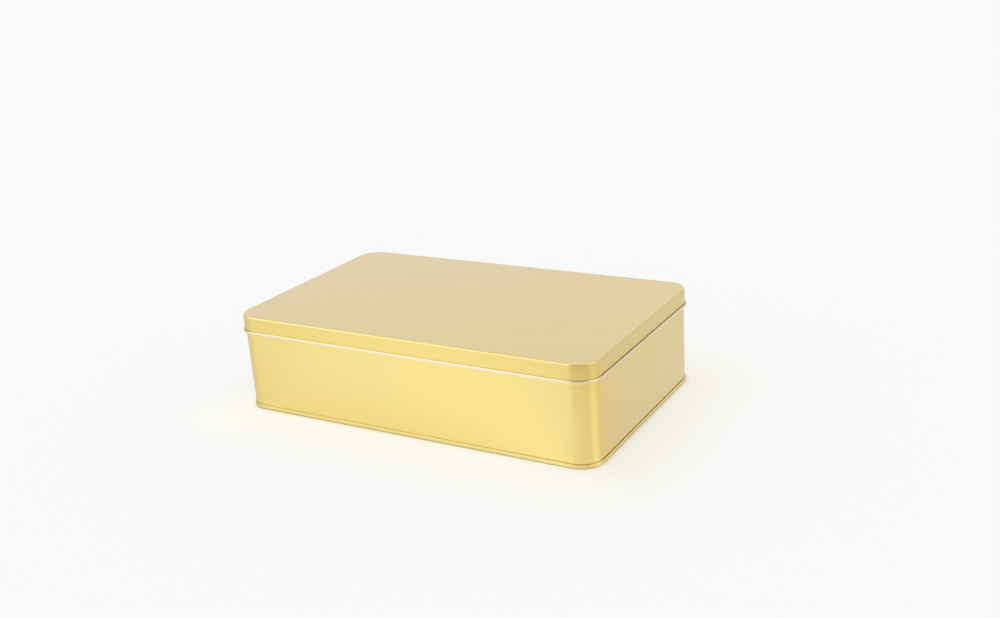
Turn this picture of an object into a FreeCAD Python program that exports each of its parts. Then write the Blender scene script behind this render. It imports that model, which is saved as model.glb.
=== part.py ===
import FreeCAD, Part
import math
import os

# A shut rectangular gift tin of lacquered tinplate: a bottom end seamed round the foot of the body,
# the body with its side seam, and a pressed slip lid whose lower edge is rolled outwards.
# Millimetres. X runs along the long sides, Y across them and Z up; the origin is under the middle
# of the tin, on the surface that it stands on.
# The sections of the lid's rim and of the foot are drawn with u, the distance outwards from the
# body's outer face, and z, the height, and are then carried round the body's rounded outline.

# Body, over its outer faces
BODY_LENGTH = 298.0
BODY_WIDTH = 177.8
CORNER_RADIUS = 16.0
TIN_HEIGHT = 75.0            # from the floor to the top of the shut lid
SHEET = 0.28                 # thickness of the tinplate
BODY_TOP_RADIUS = 1.5        # rounding of the body's upper edge, inside the lid

# Side seam, where the ends of the body sheet are lapped, up the middle of the back
SIDE_SEAM_WIDTH = 5.0
SIDE_SEAM_PROUD = 0.25

# Lid
LID_DEPTH = 13.6             # from the top of the panel to the underside of the rolled edge
LID_CLEARANCE = 0.55         # between the body's outer face and the inside of the skirt
LID_EDGE_RADIUS = 1.2        # outer rounding between the panel and the skirt
CURL_HEIGHT = 2.3            # of the edge, which is turned out and rolled back up
CURL_PROUD = 1.2             # how far the roll stands out from the skirt
CURL_GAP = 0.3               # between the skirt and the free edge of the roll
CURL_GAP_DEPTH = 1.3         # from the top of the roll down to the bottom of that gap

# Bottom end
SEAM_HEIGHT = 3.1            # from the floor to the top of the foot seam
SEAM_PROUD = 0.85            # how far the seam stands out from the body
SEAM_UNDER_BODY = 0.8        # how far the seam reaches in under the body
SEAM_GAP = 0.3               # between the seam's upper lip and the body
SEAM_OUTER_RADIUS = 0.6      # rounding of the foot on its outer side
SEAM_INNER_RADIUS = 0.6      # rounding of the foot on its inner side
PANEL_BELOW_SEAM = 0.9       # from the top of the seam down to the bottom panel's upper face
COUNTERSINK_RADIUS = 0.6     # rounding between the bottom panel and the seam

# Worked-out positions
LID_UNDERSIDE = TIN_HEIGHT - SHEET
SKIRT_INSIDE = LID_CLEARANCE
SKIRT_OUTSIDE = SKIRT_INSIDE + SHEET
BODY_FLOOR = SEAM_HEIGHT - PANEL_BELOW_SEAM
PANEL_UNDERSIDE = BODY_FLOOR - SHEET
PANEL_EDGE = -CORNER_RADIUS / 2      # where a carried section gives way to a flat slab

QUARTER_TURN = 90
SMALL = 1e-6


def point(u, z):
    """A point of a section, which is drawn in the XZ plane with u along X."""
    return FreeCAD.Vector(u, 0, z)


def line(start, end):
    return Part.LineSegment(point(*start), point(*end)).toShape()


def arc(centre, radius, start_degrees, end_degrees):
    """Part of a circle in a section; 0 degrees points outwards and 90 degrees up."""
    points = []
    for degrees in (start_degrees, (start_degrees + end_degrees) / 2, end_degrees):
        turn = math.radians(degrees)
        points.append(point(centre[0] + radius * math.cos(turn), centre[1] + radius * math.sin(turn)))
    return Part.Arc(*points).toShape()


def section_face(edges):
    return Part.Face(Part.Wire(edges))


def carried_round(face):
    """The solid ring that a section makes when it is carried round the body's outline."""
    up = FreeCAD.Vector(0, 0, 1)
    middle = FreeCAD.Vector(0, 0, 0)
    straight_x = BODY_LENGTH - 2 * CORNER_RADIUS
    straight_y = BODY_WIDTH - 2 * CORNER_RADIUS
    pieces = []
    for quarter in range(4):
        reach, run = ((BODY_LENGTH / 2, straight_y), (BODY_WIDTH / 2, straight_x))[quarter % 2]
        side = face.copy()
        side.translate(FreeCAD.Vector(reach, -run / 2, 0))
        side = side.extrude(FreeCAD.Vector(0, run, 0))
        corner = face.copy()
        corner.translate(FreeCAD.Vector(reach, run / 2, 0))
        corner = corner.revolve(FreeCAD.Vector(reach - CORNER_RADIUS, run / 2, 0), up, QUARTER_TURN)
        for piece in (side, corner):
            piece.rotate(middle, up, QUARTER_TURN * quarter)
            pieces.append(piece)
    return pieces[0].multiFuse(pieces[1:]).removeSplitter()


def rounded_slab(offset, bottom, top):
    """A flat slab whose outline is the body's outline moved outwards by offset."""
    half_length = BODY_LENGTH / 2 + offset
    half_width = BODY_WIDTH / 2 + offset
    corner = FreeCAD.Vector(-half_length, -half_width, bottom)
    slab = Part.makeBox(2 * half_length, 2 * half_width, top - bottom, corner)
    upright = [edge for edge in slab.Edges if abs(edge.tangentAt(edge.FirstParameter).z) > 1 - SMALL]
    return slab.makeFillet(CORNER_RADIUS + offset, upright)


def edges_at(solid, height):
    """The edges of a solid that lie level at one height."""
    found = []
    for edge in solid.Edges:
        if all(abs(vertex.Z - height) < SMALL for vertex in edge.Vertexes):
            found.append(edge)
    return found


def make_bottom_end():
    """Recessed bottom panel whose edge is turned down and seamed round the foot of the body."""
    lip_radius = (SEAM_PROUD - SEAM_GAP) / 2
    lip = (SEAM_GAP + lip_radius, SEAM_HEIGHT - lip_radius)
    outer = (SEAM_PROUD - SEAM_OUTER_RADIUS, SEAM_OUTER_RADIUS)
    inner = (SEAM_INNER_RADIUS - SEAM_UNDER_BODY, SEAM_INNER_RADIUS)
    sink = (-SEAM_UNDER_BODY - COUNTERSINK_RADIUS, PANEL_UNDERSIDE - COUNTERSINK_RADIUS)
    rim = section_face([
        line((PANEL_EDGE, PANEL_UNDERSIDE), (sink[0], PANEL_UNDERSIDE)),
        arc(sink, COUNTERSINK_RADIUS, 90, 0),
        line((-SEAM_UNDER_BODY, sink[1]), (-SEAM_UNDER_BODY, inner[1])),
        arc(inner, SEAM_INNER_RADIUS, 180, 270),
        line((inner[0], 0), (outer[0], 0)),
        arc(outer, SEAM_OUTER_RADIUS, 270, 360),
        line((SEAM_PROUD, outer[1]), (SEAM_PROUD, lip[1])),
        arc(lip, lip_radius, 0, 180),
        line((SEAM_GAP, lip[1]), (SEAM_GAP, BODY_FLOOR)),
        line((SEAM_GAP, BODY_FLOOR), (PANEL_EDGE, BODY_FLOOR)),
        line((PANEL_EDGE, BODY_FLOOR), (PANEL_EDGE, PANEL_UNDERSIDE)),
    ])
    panel = rounded_slab(PANEL_EDGE, PANEL_UNDERSIDE, BODY_FLOOR)
    return carried_round(rim).fuse(panel).removeSplitter()


def make_tin_body():
    """The shut body, closed wherever it can't be seen into, with the side seam up its back."""
    block = rounded_slab(0, BODY_FLOOR, LID_UNDERSIDE)
    block = block.makeFillet(BODY_TOP_RADIUS, edges_at(block, LID_UNDERSIDE))
    seam_height = LID_UNDERSIDE - BODY_TOP_RADIUS - SEAM_HEIGHT
    corner = FreeCAD.Vector(-SIDE_SEAM_WIDTH / 2, BODY_WIDTH / 2 - SIDE_SEAM_PROUD, SEAM_HEIGHT)
    seam = Part.makeBox(SIDE_SEAM_WIDTH, 2 * SIDE_SEAM_PROUD, seam_height, corner)
    return block.fuse(seam).removeSplitter()


def make_lid():
    """Flat panel, rounded edge, plain skirt and a lower edge rolled outwards, of one sheet."""
    bend = (SKIRT_OUTSIDE - LID_EDGE_RADIUS, TIN_HEIGHT - LID_EDGE_RADIUS)
    roll_outside = SKIRT_OUTSIDE + CURL_PROUD
    lip_inside = SKIRT_OUTSIDE + CURL_GAP
    low_radius = (roll_outside - SKIRT_INSIDE) / 2
    low_roll = (SKIRT_INSIDE + low_radius, TIN_HEIGHT - LID_DEPTH + low_radius)
    lip_radius = (roll_outside - lip_inside) / 2
    roll_top = TIN_HEIGHT - LID_DEPTH + CURL_HEIGHT
    lip = (lip_inside + lip_radius, roll_top - lip_radius)
    gap_floor = roll_top - CURL_GAP_DEPTH
    rim = section_face([
        line((PANEL_EDGE, TIN_HEIGHT), (bend[0], TIN_HEIGHT)),
        arc(bend, LID_EDGE_RADIUS, 90, 0),
        line((SKIRT_OUTSIDE, bend[1]), (SKIRT_OUTSIDE, gap_floor)),
        line((SKIRT_OUTSIDE, gap_floor), (lip_inside, gap_floor)),
        line((lip_inside, gap_floor), (lip_inside, lip[1])),
        arc(lip, lip_radius, 180, 0),
        line((roll_outside, lip[1]), (roll_outside, low_roll[1])),
        arc(low_roll, low_radius, 0, -180),
        line((SKIRT_INSIDE, low_roll[1]), (SKIRT_INSIDE, bend[1])),
        arc(bend, LID_EDGE_RADIUS - SHEET, 0, 90),
        line((bend[0], LID_UNDERSIDE), (PANEL_EDGE, LID_UNDERSIDE)),
        line((PANEL_EDGE, LID_UNDERSIDE), (PANEL_EDGE, TIN_HEIGHT)),
    ])
    panel = rounded_slab(PANEL_EDGE, LID_UNDERSIDE, TIN_HEIGHT)
    return carried_round(rim).fuse(panel).removeSplitter()


def save(node, shape):
    os.makedirs("parts", exist_ok=True)
    shape.exportStep(os.path.join("parts", node + ".step"))
    bounds = shape.optimalBoundingBox(False, False)
    sizes = [round(size, 3) for size in (bounds.XLength, bounds.YLength, bounds.ZMin, bounds.ZMax)]
    print(node, "valid:", shape.isValid(), "solids:", len(shape.Solids), "sizes:", sizes)


save("bottom_end", make_bottom_end())
save("tin_body", make_tin_body())
save("lid", make_lid())
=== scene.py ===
import math

import bpy
from mathutils import Matrix, Vector


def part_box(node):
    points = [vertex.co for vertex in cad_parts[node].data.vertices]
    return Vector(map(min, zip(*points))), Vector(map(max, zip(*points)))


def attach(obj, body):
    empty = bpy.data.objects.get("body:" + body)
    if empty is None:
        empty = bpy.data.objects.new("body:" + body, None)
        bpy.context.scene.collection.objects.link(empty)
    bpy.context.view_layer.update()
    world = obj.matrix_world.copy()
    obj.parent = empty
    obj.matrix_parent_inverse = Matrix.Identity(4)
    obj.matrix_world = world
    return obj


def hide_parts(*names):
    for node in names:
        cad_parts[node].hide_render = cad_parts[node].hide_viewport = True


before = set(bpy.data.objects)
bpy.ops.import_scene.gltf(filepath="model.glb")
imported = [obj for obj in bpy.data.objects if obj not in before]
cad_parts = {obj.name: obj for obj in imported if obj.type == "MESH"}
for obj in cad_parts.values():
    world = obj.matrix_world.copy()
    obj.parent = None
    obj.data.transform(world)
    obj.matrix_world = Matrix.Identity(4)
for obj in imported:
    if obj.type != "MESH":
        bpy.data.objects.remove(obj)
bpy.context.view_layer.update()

MM = 0.001

# Sizes of the real tin, the same as in the part's source
SHEET = 0.28 * MM
CORNER_RADIUS = 16.0 * MM
BODY_TOP_RADIUS = 1.5 * MM
SIDE_SEAM_WIDTH = 5.0 * MM
SIDE_SEAM_PROUD = 0.25 * MM
SIDE_SEAM_RADIUS = 0.2 * MM     # softens the lap's edges, which the part leaves sharp
LID_DEPTH = 13.6 * MM
LID_CLEARANCE = 0.55 * MM
LID_EDGE_RADIUS = 1.2 * MM
CURL_HEIGHT = 2.3 * MM
CURL_PROUD = 1.2 * MM
CURL_GAP = 0.3 * MM
CURL_GAP_DEPTH = 1.3 * MM
SEAM_PROUD = 0.85 * MM
SEAM_UNDER_BODY = 0.8 * MM
SEAM_GAP = 0.3 * MM
SEAM_OUTER_RADIUS = 0.6 * MM
SEAM_INNER_RADIUS = 0.6 * MM
PANEL_BELOW_SEAM = 0.9 * MM
COUNTERSINK_RADIUS = 0.6 * MM

body_low, body_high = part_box("tin_body")
lid_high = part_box("lid")[1]
HALF_LENGTH = body_high[0]
HALF_WIDTH = -body_low[1]
BODY_FLOOR = body_low[2]
LID_UNDERSIDE = body_high[2]
LID_TOP = lid_high[2]
LID_BOTTOM = LID_TOP - LID_DEPTH
SEAM_TOP = BODY_FLOOR + PANEL_BELOW_SEAM
CURL_TOP = LID_BOTTOM + CURL_HEIGHT
CURL_GAP_BOTTOM = CURL_TOP - CURL_GAP_DEPTH
SKIRT_OUTSIDE = LID_CLEARANCE + SHEET
CURL_OUTSIDE = SKIRT_OUTSIDE + CURL_PROUD

# How finely the roundings are cut
CORNER_STEPS = 32
LID_EDGE_STEPS = 10
LID_INSIDE_STEPS = 6
CURL_STEPS = 8
BODY_TOP_STEPS = 6
SIDE_SEAM_STEPS = 3
SEAM_LIP_STEPS = 8
SEAM_OUTER_STEPS = 6
SEAM_INNER_STEPS = 5

SAME = 0.001 * MM           # points nearer than this are one
CLOSE = 0.02 * MM           # how far off its place an edge or face may be found
FACING = 0.99               # how squarely a face must look in a direction
ALMOST = 0.999              # keeps two roundings that meet from touching
SHARP_ANGLE = math.radians(40)
ROUND = 0.5                 # the profile of a bevel that is an arc
FLAT_FIRST = 100            # gives large flat faces the most say in the shading


# ---------------------------------------------------------------- modelling helpers

def clear_selection():
    for thing in bpy.context.selected_objects:
        thing.select_set(False)


def rounded_block(name, offset, bottom, top):
    """A block whose outline is the body's outline moved outwards by offset, in edit mode."""
    clear_selection()
    size = (2 * (HALF_LENGTH + offset), 2 * (HALF_WIDTH + offset), top - bottom)
    bpy.ops.mesh.primitive_cube_add(size=1, location=(0, 0, (bottom + top) / 2), scale=size)
    piece = bpy.context.object
    piece.name = name
    piece.data.name = name
    bpy.ops.object.transform_apply(location=True, rotation=False, scale=True)
    select_edges(piece, lambda a, b: abs(a.x - b.x) < SAME and abs(a.y - b.y) < SAME)
    bevel(CORNER_RADIUS + offset, CORNER_STEPS)
    return piece


def deselected(piece, mode):
    """Leaves edit mode with nothing selected, ready to pick edges or faces of this piece."""
    if bpy.context.mode == "EDIT_MESH":
        bpy.ops.object.mode_set(mode="OBJECT")
    clear_selection()
    bpy.context.view_layer.objects.active = piece
    piece.select_set(True)
    bpy.ops.object.mode_set(mode="EDIT")
    bpy.ops.mesh.select_mode(type=mode)
    bpy.ops.mesh.select_all(action="DESELECT")
    bpy.ops.object.mode_set(mode="OBJECT")


def select_edges(piece, *tests):
    """Selects the edges whose two ends pass any of the tests, in edit mode."""
    deselected(piece, "EDGE")
    points = [vertex.co for vertex in piece.data.vertices]
    for edge in piece.data.edges:
        start, end = (points[number] for number in edge.vertices)
        edge.select = any(test(start, end) for test in tests)
    bpy.ops.object.mode_set(mode="EDIT")


def select_faces(piece, test):
    """Selects the faces whose centre and normal pass the test, in edit mode."""
    deselected(piece, "FACE")
    for face in piece.data.polygons:
        face.select = test(face.center, face.normal)
    bpy.ops.object.mode_set(mode="EDIT")


def bevel(radius, steps):
    bpy.ops.mesh.bevel(
        offset_type="OFFSET",
        offset=radius,
        segments=steps,
        profile=ROUND,
        affect="EDGES",
        clamp_overlap=False,
    )


def outwards(point):
    """How far a point lies outside the body's outline; inside it this is negative."""
    past_x = abs(point.x) - (HALF_LENGTH - CORNER_RADIUS)
    past_y = abs(point.y) - (HALF_WIDTH - CORNER_RADIUS)
    if past_x > 0 and past_y > 0:
        return math.hypot(past_x, past_y) - CORNER_RADIUS
    return max(past_x, past_y) - CORNER_RADIUS


def on_rim(height, offset):
    """A test for the edges that run round the outline at one height and one offset."""

    def test(*ends):
        level = all(abs(end.z - height) < CLOSE for end in ends)
        return level and all(abs(outwards(end) - offset) < CLOSE for end in ends)

    return test


def level_face(height, upwards):
    """A test for the flat faces at one height that look up (1) or down (-1)."""

    def test(centre, normal):
        return abs(centre.z - height) < CLOSE and normal.z * upwards > FACING

    return test


def move_up(distance):
    bpy.ops.mesh.extrude_region_move(TRANSFORM_OT_translate={"value": (0, 0, distance)})


def finish_piece(piece, material, node):
    """Tidies the mesh, shades it and puts it in its CAD node's place."""
    bpy.ops.object.mode_set(mode="EDIT")
    bpy.ops.mesh.select_all(action="SELECT")
    bpy.ops.mesh.remove_doubles(threshold=SAME)
    bpy.ops.mesh.normals_make_consistent(inside=False)
    bpy.ops.object.mode_set(mode="OBJECT")
    clear_selection()
    piece.select_set(True)
    bpy.context.view_layer.objects.active = piece
    bpy.ops.object.shade_smooth_by_angle(angle=SHARP_ANGLE)
    weighted = piece.modifiers.new("flat_faces_stay_flat", "WEIGHTED_NORMAL")
    weighted.keep_sharp = True
    weighted.weight = FLAT_FIRST
    bpy.ops.object.modifier_apply(modifier=weighted.name)
    piece.data.materials.clear()
    piece.data.materials.append(material)
    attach(piece, "root")
    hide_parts(node)


# ---------------------------------------------------------------- lacquer and bare tinplate

GOLD = (0.98, 0.79, 0.28)
LID_GOLD = (0.93, 0.745, 0.24)
BARE = (0.955, 0.85, 0.61)
LACQUER_ROUGHNESS = 0.3
BARE_ROUGHNESS = 0.22
ROUGHNESS_SPREAD = 0.04
LACQUER_COAT = 1.0
NO_COAT = 0.0
COAT_ROUGHNESS = 0.12
COAT_IOR = 1.5
CLOUDS_PER_METRE = 14.0
CLOUD_DETAIL = 4.0
CLOUD_DARK = 0.97
CLOUD_LIGHT = 1.02
ROLLING_GRAIN = (60, 900, 900)      # streaks per metre along X, Y and Z, from rolling the sheet
GRAIN_DETAIL = 6.0
GRAIN_STRENGTH = 0.05
GRAIN_DEPTH = 0.2 * MM


def new_material(name):
    material = bpy.data.materials.new(name)
    material.use_nodes = True
    nodes = material.node_tree.nodes
    return material, nodes, material.node_tree.links, nodes["Principled BSDF"]


def tinplate(name, color, roughness, coat):
    """Tinplate with or without lacquer: soft clouds of tint and a faint rolling grain."""
    material, nodes, links, shader = new_material(name)
    place = nodes.new("ShaderNodeTexCoord")
    shader.inputs["Metallic"].default_value = 1.0
    shader.inputs["Coat Weight"].default_value = coat
    shader.inputs["Coat Roughness"].default_value = COAT_ROUGHNESS
    shader.inputs["Coat IOR"].default_value = COAT_IOR

    cloud = nodes.new("ShaderNodeTexNoise")
    cloud.inputs["Scale"].default_value = CLOUDS_PER_METRE
    cloud.inputs["Detail"].default_value = CLOUD_DETAIL
    links.new(place.outputs["Object"], cloud.inputs["Vector"])
    tint = nodes.new("ShaderNodeMix")
    tint.data_type = "RGBA"
    tint.inputs["A"].default_value = (*[level * CLOUD_DARK for level in color], 1)
    tint.inputs["B"].default_value = (*[min(1, level * CLOUD_LIGHT) for level in color], 1)
    links.new(cloud.outputs["Fac"], tint.inputs["Factor"])
    links.new(tint.outputs["Result"], shader.inputs["Base Color"])

    stretch = nodes.new("ShaderNodeMapping")
    stretch.inputs["Scale"].default_value = ROLLING_GRAIN
    links.new(place.outputs["Object"], stretch.inputs["Vector"])
    streaks = nodes.new("ShaderNodeTexNoise")
    streaks.inputs["Scale"].default_value = 1.0
    streaks.inputs["Detail"].default_value = GRAIN_DETAIL
    links.new(stretch.outputs["Vector"], streaks.inputs["Vector"])
    rough = nodes.new("ShaderNodeMapRange")
    rough.inputs["To Min"].default_value = roughness - ROUGHNESS_SPREAD
    rough.inputs["To Max"].default_value = roughness + ROUGHNESS_SPREAD
    links.new(streaks.outputs["Fac"], rough.inputs["Value"])
    links.new(rough.outputs["Result"], shader.inputs["Roughness"])

    bump = nodes.new("ShaderNodeBump")
    bump.inputs["Strength"].default_value = GRAIN_STRENGTH
    bump.inputs["Distance"].default_value = GRAIN_DEPTH
    links.new(streaks.outputs["Fac"], bump.inputs["Height"])
    links.new(bump.outputs["Normal"], shader.inputs["Normal"])
    return material


gold = tinplate("gold_lacquer", GOLD, LACQUER_ROUGHNESS, LACQUER_COAT)
lid_gold = tinplate("lid_gold_lacquer", LID_GOLD, LACQUER_ROUGHNESS, LACQUER_COAT)
silver = tinplate("bare_tinplate", BARE, BARE_ROUGHNESS, NO_COAT)


# ---------------------------------------------------------------- the tin

def make_lid_shell():
    """Panel and skirt of the lid, hollow below, down to where the roll begins."""
    skirt_end = CURL_GAP_BOTTOM - SHEET
    lid = rounded_block("lid_shell", SKIRT_OUTSIDE, skirt_end, LID_TOP)
    select_edges(lid, on_rim(LID_TOP, SKIRT_OUTSIDE))
    bevel(LID_EDGE_RADIUS, LID_EDGE_STEPS)
    select_faces(lid, level_face(skirt_end, -1))
    bpy.ops.mesh.inset(thickness=SHEET)
    move_up(LID_UNDERSIDE - skirt_end)
    select_edges(lid, on_rim(LID_UNDERSIDE, LID_CLEARANCE))
    bevel(LID_EDGE_RADIUS - SHEET, LID_INSIDE_STEPS)
    finish_piece(lid, lid_gold, "lid")


def make_lid_curl():
    """The lid's bare lower edge, rolled outwards and up, with a groove beside the skirt."""
    curl = rounded_block("lid_curl", CURL_OUTSIDE, LID_BOTTOM, CURL_TOP)
    select_faces(curl, level_face(CURL_TOP, 1))
    bpy.ops.mesh.inset(thickness=CURL_PROUD - CURL_GAP)
    move_up(-CURL_GAP_DEPTH)
    bpy.ops.mesh.inset(thickness=CURL_GAP + SHEET)
    bpy.ops.mesh.delete(type="FACE")
    select_faces(curl, level_face(LID_BOTTOM, -1))
    bpy.ops.mesh.inset(thickness=CURL_OUTSIDE - LID_CLEARANCE)
    bpy.ops.mesh.delete(type="FACE")
    select_edges(curl, on_rim(LID_BOTTOM, LID_CLEARANCE), on_rim(CURL_GAP_BOTTOM, LID_CLEARANCE))
    bpy.ops.mesh.bridge_edge_loops()
    lip_radius = (CURL_PROUD - CURL_GAP) / 2 * ALMOST
    select_edges(curl, on_rim(CURL_TOP, CURL_OUTSIDE), on_rim(CURL_TOP, SKIRT_OUTSIDE + CURL_GAP))
    bevel(lip_radius, CURL_STEPS)
    low_radius = (CURL_OUTSIDE - LID_CLEARANCE) / 2 * ALMOST
    select_edges(curl, on_rim(LID_BOTTOM, CURL_OUTSIDE), on_rim(LID_BOTTOM, LID_CLEARANCE))
    bevel(low_radius, CURL_STEPS)
    finish_piece(curl, silver, "lid")


def make_body():
    """The shut body, with the lapped side seam up the middle of its back."""
    body = rounded_block("tin_wall", 0, BODY_FLOOR, LID_UNDERSIDE)
    select_edges(body, on_rim(LID_UNDERSIDE, 0))
    bevel(BODY_TOP_RADIUS, BODY_TOP_STEPS)
    half_seam = SIDE_SEAM_WIDTH / 2
    seam_end = LID_UNDERSIDE - BODY_TOP_RADIUS
    cuts = (
        ((-half_seam, 0, 0), (1, 0, 0)),
        ((half_seam, 0, 0), (1, 0, 0)),
        ((0, 0, SEAM_TOP), (0, 0, 1)),
    )
    for at, normal in cuts:
        bpy.ops.mesh.select_all(action="SELECT")
        bpy.ops.mesh.bisect(plane_co=at, plane_no=normal)

    def in_seam(centre, normal):
        in_height = SEAM_TOP < centre.z < seam_end
        return normal.y > FACING and abs(centre.x) < half_seam and in_height

    select_faces(body, in_seam)
    bpy.ops.mesh.extrude_region_move(TRANSFORM_OT_translate={"value": (0, SIDE_SEAM_PROUD, 0)})
    lap_y = HALF_WIDTH + SIDE_SEAM_PROUD
    select_edges(body, lambda a, b: abs(a.y - lap_y) < CLOSE and abs(b.y - lap_y) < CLOSE)
    bevel(SIDE_SEAM_RADIUS, SIDE_SEAM_STEPS)
    finish_piece(body, gold, "tin_body")


def make_foot():
    """The bottom end: a recessed panel and the seam that holds it round the foot."""
    foot = rounded_block("foot_seam", SEAM_PROUD, 0, SEAM_TOP)
    select_faces(foot, level_face(SEAM_TOP, 1))
    bpy.ops.mesh.inset(thickness=SEAM_PROUD - SEAM_GAP)
    move_up(BODY_FLOOR - SEAM_TOP)
    select_faces(foot, level_face(0, -1))
    bpy.ops.mesh.inset(thickness=SEAM_PROUD + SEAM_UNDER_BODY)
    move_up(BODY_FLOOR - SHEET)
    lip_radius = (SEAM_PROUD - SEAM_GAP) / 2 * ALMOST
    select_edges(foot, on_rim(SEAM_TOP, SEAM_PROUD), on_rim(SEAM_TOP, SEAM_GAP))
    bevel(lip_radius, SEAM_LIP_STEPS)
    select_edges(foot, on_rim(0, SEAM_PROUD))
    bevel(SEAM_OUTER_RADIUS, SEAM_OUTER_STEPS)
    select_edges(foot, on_rim(0, -SEAM_UNDER_BODY))
    bevel(SEAM_INNER_RADIUS, SEAM_INNER_STEPS)
    select_edges(foot, on_rim(BODY_FLOOR - SHEET, -SEAM_UNDER_BODY))
    bevel(COUNTERSINK_RADIUS, SEAM_INNER_STEPS)
    finish_piece(foot, gold, "bottom_end")


make_lid_shell()
make_lid_curl()
make_body()
make_foot()


# ---------------------------------------------------------------- floor with painted light, paper tent and camera

FLOOR_SIZE = 60.0
FLOOR_WHITE = (0.95, 0.95, 0.95)
FLOOR_ROUGHNESS = 0.9
FLOOR_GLOW = 0.8                        # how much of the floor's seen light is even and unshaded
FLOOR_MIRRORED = 0.85                   # how much of its mirrored light the painted reflection tables below give
NO_SHADE = (1.0, 1.0, 1.0)
FOOT_PAINTED_SHADOW_WIDTH = 2.0 * MM                  # of the painted shadow on the rim round the foot, as the metal mirrors it
CONTACT_SHADE_WIDTH = 1.0 * MM          # of that rim as the camera sees it
PAINTED_CONTACT_LIGHT_WIDTH = 5.5 * MM                # of the painted warm light where the floor meets the foot
PAINTED_BOUNCE_LIGHT_WIDTH = 80.0 * MM                # of the painted light that stands in for what the tin throws around it
BODY_REFLECTS_TO = 165.0 * MM           # the wall mirrors the near painted floor reflection up to here from the foot
LID_REFLECTS_FROM = 195.0 * MM          # and the lid's skirt from here on
TENT_RADIUS = 3.0
TENT_HEIGHT = 1.2
TENT_SIDES = 96
ROOF_RADIUS = 0.9
ROOF_HEIGHT = 3.0
FULL_TURN = 360
FRONT_ON_RAMP = 0.25                    # where a radial gradient has the front of the tin
CAMERA_AZIMUTH = math.radians(30.75)
LEFT_CORNER_AZIMUTH = math.radians(41.4)    # the camera's direction from the left corner
CAMERA_ELEVATION = math.radians(19.22)
CAMERA_ROLL = math.radians(-3.94)
CAMERA_DISTANCE = 905.87 * MM
CAMERA_MOVED_RIGHT = 25.8824 * MM       # puts the tin left of the middle of the view
CAMERA_MOVED_UP = 30.4358 * MM          # puts the tin below the middle of the view
LOOKS_AT = Vector((0, 0, 35.0 * MM))
SENSOR_WIDTH = 36.0
FOCAL_IN_SENSOR_WIDTHS = 1.17178


def grey(level):
    return (level, level, level)


# Each table lists directions in degrees, 0 in front of the tin and 90 at its right end, and
# the red, green and blue light there

# The round wall of the tent
TENT_LEVELS = (
    (-90, grey(0.84)),
    (-50, grey(0.90)),
    (-38, grey(1.0)),
    (-6, grey(1.0)),
    (3, grey(0.78)),
    (76, grey(0.78)),
    (84, grey(1.0)),
    (98, grey(1.0)),
    (112, (0.72, 0.71, 0.72)),
    (168, (0.72, 0.71, 0.72)),
    (185, (0.80, 0.775, 0.86)),
    (240, (0.80, 0.775, 0.86)),
    (270, grey(0.84)),
)
# The roof of the tent, which lights the rounded edges, the roll and the lid's panel
ROOF_LEVELS = (
    (-90, grey(0.5)),
    (-88, grey(0.5)),
    (-80, (1.5, 1.58, 1.75)),
    (-30, (1.5, 1.58, 1.75)),
    (-20, grey(0.35)),
    (70, grey(0.35)),
    (80, (1.35, 1.35, 1.3)),
    (112, (1.35, 1.35, 1.3)),
    (122, (0.67, 0.66, 0.67)),
    (168, (0.67, 0.66, 0.67)),
    (185, (0.80, 0.775, 0.86)),
    (236, (0.80, 0.775, 0.86)),
    (250, grey(0.5)),
)
# Painted reflection of the floor near the tin, as the body mirrors it
NEAR_FLOOR_PAINTED_REFLECTION = (
    (-90, (0.90, 0.88, 0.80)),
    (-84, (0.94, 0.92, 0.83)),
    (-74, (0.98, 0.98, 0.94)),
    (-58, (1.05, 1.05, 1.04)),
    (-48, (1.05, 1.05, 1.04)),
    (-41, (1.02, 1.02, 1.01)),
    (-31, (0.965, 0.965, 0.95)),
    (-22, (0.92, 0.92, 0.88)),
    (-4, (0.85, 0.83, 0.75)),
    (70, (0.80, 0.765, 0.67)),
    (84, (0.97, 0.94, 0.86)),
    (100, (0.97, 0.94, 0.86)),
    (114, (0.78, 0.71, 0.58)),
    (138, (0.76, 0.68, 0.54)),
    (153, (0.73, 0.68, 0.63)),
    (163, (0.70, 0.69, 0.70)),
    (173, (0.73, 0.715, 0.745)),
    (200, grey(0.77)),
    (240, (0.84, 0.83, 0.78)),
)
# Painted reflection of the floor farther out, as the lid's skirt mirrors it
FAR_FLOOR_PAINTED_REFLECTION = (
    (-90, (0.90, 0.88, 0.80)),
    (-74, (0.96, 0.96, 0.92)),
    (-58, (1.04, 1.04, 1.01)),
    (-41, (1.02, 1.02, 1.01)),
    (-31, (0.95, 0.95, 0.92)),
    (-22, (0.86, 0.84, 0.78)),
    (-4, (0.53, 0.47, 0.33)),
    (70, (0.53, 0.47, 0.33)),
    (84, (0.62, 0.58, 0.48)),
    (100, (0.62, 0.58, 0.48)),
    (114, (0.64, 0.59, 0.50)),
    (153, (0.71, 0.66, 0.62)),
    (168, (0.70, 0.69, 0.71)),
    (200, grey(0.77)),
    (240, (0.84, 0.83, 0.78)),
)
# Painted shade on the mirrored floor towards the left end: how much of it is left there, seen from
# the left corner
LEFT_END_PAINTED_SHADE = (
    (-90, (0.80, 0.765, 0.69)),
    (-62, (0.86, 0.83, 0.76)),
    (-38, (0.93, 0.92, 0.89)),
    (-12, grey(1.0)),
    (180, grey(1.0)),
    (210, (0.74, 0.71, 0.64)),
    (250, (0.76, 0.73, 0.66)),
)
# Painted shadow on the mirrored floor right beside the foot: how much of it is left there
FOOT_PAINTED_SHADOW_LEVELS = (
    (-90, (0.45, 0.40, 0.32)),
    (54, (0.45, 0.40, 0.32)),
    (64, (0.75, 0.70, 0.60)),
    (130, (0.75, 0.70, 0.60)),
    (200, (0.45, 0.40, 0.32)),
)
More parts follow.
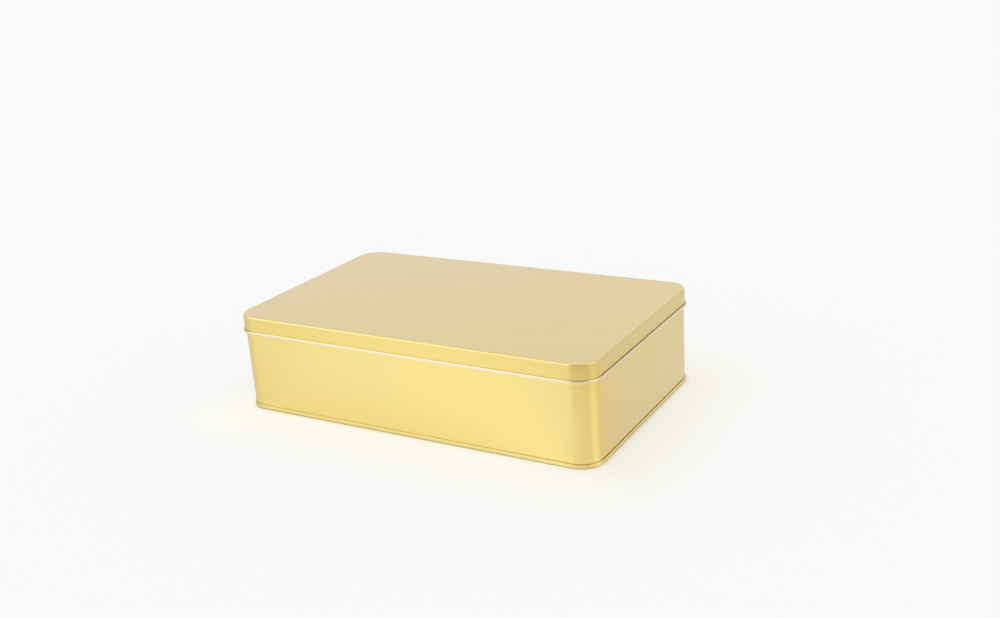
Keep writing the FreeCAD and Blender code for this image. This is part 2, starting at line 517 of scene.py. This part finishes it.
# Painted warm light on the floor where it meets the foot
PAINTED_CONTACT_LIGHT_LEVELS = (
    (-90, (0.92, 0.92, 0.89)),
    (-70, (0.97, 0.94, 0.84)),
    (-54, (1.06, 0.945, 0.64)),
    (54, (1.06, 0.945, 0.64)),
    (62, (0.86, 0.785, 0.63)),
    (130, (0.86, 0.785, 0.63)),
    (200, (0.92, 0.90, 0.82)),
)
# Painted light on the floor around the tin, standing in for the light that the tin throws there
PAINTED_BOUNCE_LIGHT_LEVELS = (
    (-90, (0.925, 0.93, 0.915)),
    (-72, (0.935, 0.93, 0.90)),
    (-54, (1.03, 0.995, 0.90)),
    (40, (1.03, 0.995, 0.90)),
    (54, (0.975, 0.96, 0.88)),
    (64, (0.92, 0.90, 0.79)),
    (130, (0.93, 0.915, 0.84)),
    (200, (0.93, 0.93, 0.90)),
)


def light_by_direction(material, centre, levels):
    """Light that changes with the direction from a point, as one of the tables lists it."""
    nodes = material.node_tree.nodes
    links = material.node_tree.links
    place = nodes.new("ShaderNodeTexCoord")
    shift = nodes.new("ShaderNodeMapping")
    shift.inputs["Location"].default_value = (-centre[0], -centre[1], 0)
    around = nodes.new("ShaderNodeTexGradient")
    around.gradient_type = "RADIAL"
    ramp = nodes.new("ShaderNodeValToRGB")
    links.new(place.outputs["Object"], shift.inputs["Vector"])
    links.new(shift.outputs["Vector"], around.inputs["Vector"])
    links.new(around.outputs["Color"], ramp.inputs["Fac"])
    stops = ramp.color_ramp.elements
    while len(stops) > 1:
        stops.remove(stops[-1])
    for number, (azimuth, level) in enumerate(levels):
        position = FRONT_ON_RAMP + azimuth / FULL_TURN
        stop = stops[0] if number == 0 else stops.new(position)
        stop.position = position
        stop.color = (*level, 1)
    return ramp.outputs["Color"]


def distance_from_foot(material):
    """How far a point of the floor lies from the foot's round-cornered outline."""
    nodes = material.node_tree.nodes
    links = material.node_tree.links
    place = nodes.new("ShaderNodeTexCoord")
    last = place.outputs["Object"]
    core = (HALF_LENGTH - CORNER_RADIUS, HALF_WIDTH - CORNER_RADIUS, 0)
    steps = (
        ("ABSOLUTE", None, "Vector"),
        ("SUBTRACT", core, "Vector"),
        ("MAXIMUM", (0, 0, 0), "Vector"),
        ("LENGTH", None, "Value"),
    )
    for operation, values, result in steps:
        step = nodes.new("ShaderNodeVectorMath")
        step.operation = operation
        links.new(last, step.inputs[0])
        if values:
            step.inputs[1].default_value = values
        last = step.outputs[result]
    outside = nodes.new("ShaderNodeMath")
    outside.operation = "SUBTRACT"
    outside.inputs[1].default_value = CORNER_RADIUS + SEAM_PROUD
    links.new(last, outside.inputs[0])
    return outside.outputs[0]


def fade(material, value, start, end, top=1.0):
    """Goes smoothly from 0 at start to top at end."""
    step = material.node_tree.nodes.new("ShaderNodeMapRange")
    step.interpolation_type = "SMOOTHSTEP"
    step.inputs["From Min"].default_value = start
    step.inputs["From Max"].default_value = end
    step.inputs["To Max"].default_value = top
    material.node_tree.links.new(value, step.inputs["Value"])
    return step.outputs["Result"]


def mixed_color(material, share, first, second):
    """Goes from the first colour to the second with share; each is fixed or a node's."""
    mix = material.node_tree.nodes.new("ShaderNodeMix")
    mix.data_type = "RGBA"
    links = material.node_tree.links
    links.new(share, mix.inputs["Factor"])
    for end, color in (("A", first), ("B", second)):
        if isinstance(color, tuple):
            mix.inputs[end].default_value = (*color, 1)
        else:
            links.new(color, mix.inputs[end])
    return mix.outputs["Result"]


def multiplied_color(material, first, second):
    """Darkens one node's colour by another's."""
    product = material.node_tree.nodes.new("ShaderNodeVectorMath")
    product.operation = "MULTIPLY"
    material.node_tree.links.new(first, product.inputs[0])
    material.node_tree.links.new(second, product.inputs[1])
    return product.outputs["Vector"]


def corner_focus(end, seen_from):
    """A round corner mirrors the floor as from a point halfway between its axis and its face."""
    half_radius = CORNER_RADIUS / 2
    return (
        end * (HALF_LENGTH - CORNER_RADIUS) + half_radius * math.sin(seen_from),
        CORNER_RADIUS - HALF_WIDTH - half_radius * math.cos(seen_from),
    )


def glow_for(material, below, switch, share, color):
    """Lays a glow over a shader for one kind of ray, as far as share says."""
    nodes = material.node_tree.nodes
    links = material.node_tree.links
    ray = nodes.new("ShaderNodeLightPath")
    amount = nodes.new("ShaderNodeMath")
    amount.operation = "MULTIPLY"
    links.new(ray.outputs[switch], amount.inputs[0])
    if isinstance(share, float):
        amount.inputs[1].default_value = share
    else:
        links.new(share, amount.inputs[1])
    glow = nodes.new("ShaderNodeEmission")
    links.new(color, glow.inputs["Color"])
    mix = nodes.new("ShaderNodeMixShader")
    links.new(amount.outputs[0], mix.inputs["Fac"])
    links.new(below, mix.inputs[1])
    links.new(glow.outputs[0], mix.inputs[2])
    return mix.outputs[0]


def seen_floor_with_painted_light(material, away, below):
    """The floor as the camera sees it, with painted warm light near the tin and white farther out.
    """
    painted_contact_light = light_by_direction(material, (0, 0), PAINTED_CONTACT_LIGHT_LEVELS)
    painted_bounce_light = light_by_direction(material, (0, 0), PAINTED_BOUNCE_LIGHT_LEVELS)
    beside = mixed_color(material, fade(material, away, 0, PAINTED_CONTACT_LIGHT_WIDTH), painted_contact_light, painted_bounce_light)
    color = mixed_color(material, fade(material, away, 0, PAINTED_BOUNCE_LIGHT_WIDTH), beside, FLOOR_WHITE)
    share = fade(material, away, 0, CONTACT_SHADE_WIDTH, FLOOR_GLOW)
    return glow_for(material, below, "Is Camera Ray", share, color)


def floor_painted_reflection(material, away, below):
    """The floor as the tin mirrors it: a painted reflection, lighter and darker with the
    direction.
    """
    right_corner = corner_focus(1, CAMERA_AZIMUTH)
    left_corner = corner_focus(-1, LEFT_CORNER_AZIMUTH)
    near = light_by_direction(material, right_corner, NEAR_FLOOR_PAINTED_REFLECTION)
    far = light_by_direction(material, right_corner, FAR_FLOOR_PAINTED_REFLECTION)
    far_share = fade(material, away, BODY_REFLECTS_TO, LID_REFLECTS_FROM)
    # painted shade that darkens the mirrored floor towards the tin's left end
    left_end_painted_shade = light_by_direction(material, left_corner, LEFT_END_PAINTED_SHADE)
    lit = multiplied_color(material, mixed_color(material, far_share, near, far), left_end_painted_shade)
    # painted shadow on the mirrored floor right beside the foot
    painted_shadow_at_foot = light_by_direction(material, (0, 0), FOOT_PAINTED_SHADOW_LEVELS)
    shade = mixed_color(material, fade(material, away, 0, FOOT_PAINTED_SHADOW_WIDTH), painted_shadow_at_foot, NO_SHADE)
    color = multiplied_color(material, lit, shade)
    return glow_for(material, below, "Is Glossy Ray", FLOOR_MIRRORED, color)


def make_floor():
    """White paper, wide enough to reach the horizon, with painted light near the tin and a painted
    reflection for the metal.
    """
    clear_selection()
    bpy.ops.mesh.primitive_plane_add(size=FLOOR_SIZE, location=(0, 0, 0))
    floor = bpy.context.object
    floor.name = "floor"
    material, nodes, links, shader = new_material("floor_paper_with_painted_light")
    shader.inputs["Base Color"].default_value = (*FLOOR_WHITE, 1)
    shader.inputs["Roughness"].default_value = FLOOR_ROUGHNESS
    shader.inputs["Specular IOR Level"].default_value = 0.0
    away = distance_from_foot(material)
    seen = seen_floor_with_painted_light(material, away, shader.outputs[0])
    mirrored = floor_painted_reflection(material, away, seen)
    links.new(mirrored, nodes["Material Output"].inputs["Surface"])
    floor.data.materials.append(material)


def make_world():
    """Plain white light from all round."""
    world = bpy.data.worlds.new("studio")
    bpy.context.scene.world = world
    world.use_nodes = True
    world.node_tree.nodes["Background"].inputs["Color"].default_value = (1, 1, 1, 1)
    world.node_tree.nodes["Background"].inputs["Strength"].default_value = 1.0


def make_tent(name, low_radius, high_radius, bottom, top, levels):
    """A round wall of paper, seen in reflections alone, whose light changes with direction."""
    clear_selection()
    bpy.ops.mesh.primitive_cone_add(
        vertices=TENT_SIDES,
        radius1=low_radius,
        radius2=high_radius,
        depth=top - bottom,
        end_fill_type="NOTHING",
        location=(0, 0, (bottom + top) / 2),
    )
    tent = bpy.context.object
    tent.name = name
    material = bpy.data.materials.new(name + "_paper")
    material.use_nodes = True
    nodes = material.node_tree.nodes
    nodes.clear()
    color = light_by_direction(material, (0, 0), levels)
    glow = nodes.new("ShaderNodeEmission")
    material.node_tree.links.new(color, glow.inputs["Color"])
    out = nodes.new("ShaderNodeOutputMaterial")
    material.node_tree.links.new(glow.outputs[0], out.inputs["Surface"])
    tent.data.materials.append(material)
    tent.visible_camera = False
    tent.visible_diffuse = False
    tent.visible_shadow = False


def make_camera():
    """The camera, turned a little about its own axis and moved to the right and up."""
    back = Vector((
        math.sin(CAMERA_AZIMUTH) * math.cos(CAMERA_ELEVATION),
        -math.cos(CAMERA_AZIMUTH) * math.cos(CAMERA_ELEVATION),
        math.sin(CAMERA_ELEVATION),
    ))
    level_right = (-back).cross(Vector((0, 0, 1))).normalized()
    level_up = level_right.cross(-back)
    right = level_right * math.cos(CAMERA_ROLL) + level_up * math.sin(CAMERA_ROLL)
    up = level_up * math.cos(CAMERA_ROLL) - level_right * math.sin(CAMERA_ROLL)
    data = bpy.data.cameras.new("camera")
    data.sensor_width = SENSOR_WIDTH
    data.lens = SENSOR_WIDTH * FOCAL_IN_SENSOR_WIDTHS
    camera = bpy.data.objects.new("camera", data)
    bpy.context.scene.collection.objects.link(camera)
    moved = right * CAMERA_MOVED_RIGHT + up * CAMERA_MOVED_UP
    camera.location = LOOKS_AT + back * CAMERA_DISTANCE + moved
    camera.rotation_mode = "QUATERNION"
    camera.rotation_quaternion = Matrix((right, up, back)).transposed().to_quaternion()
    bpy.context.scene.camera = camera


make_floor()
make_world()
make_tent("tent", TENT_RADIUS, TENT_RADIUS, 0, TENT_HEIGHT, TENT_LEVELS)
make_tent("tent_roof", TENT_RADIUS, ROOF_RADIUS, TENT_HEIGHT, ROOF_HEIGHT, ROOF_LEVELS)
make_camera()

bpy.context.scene.view_settings.view_transform = "Standard"
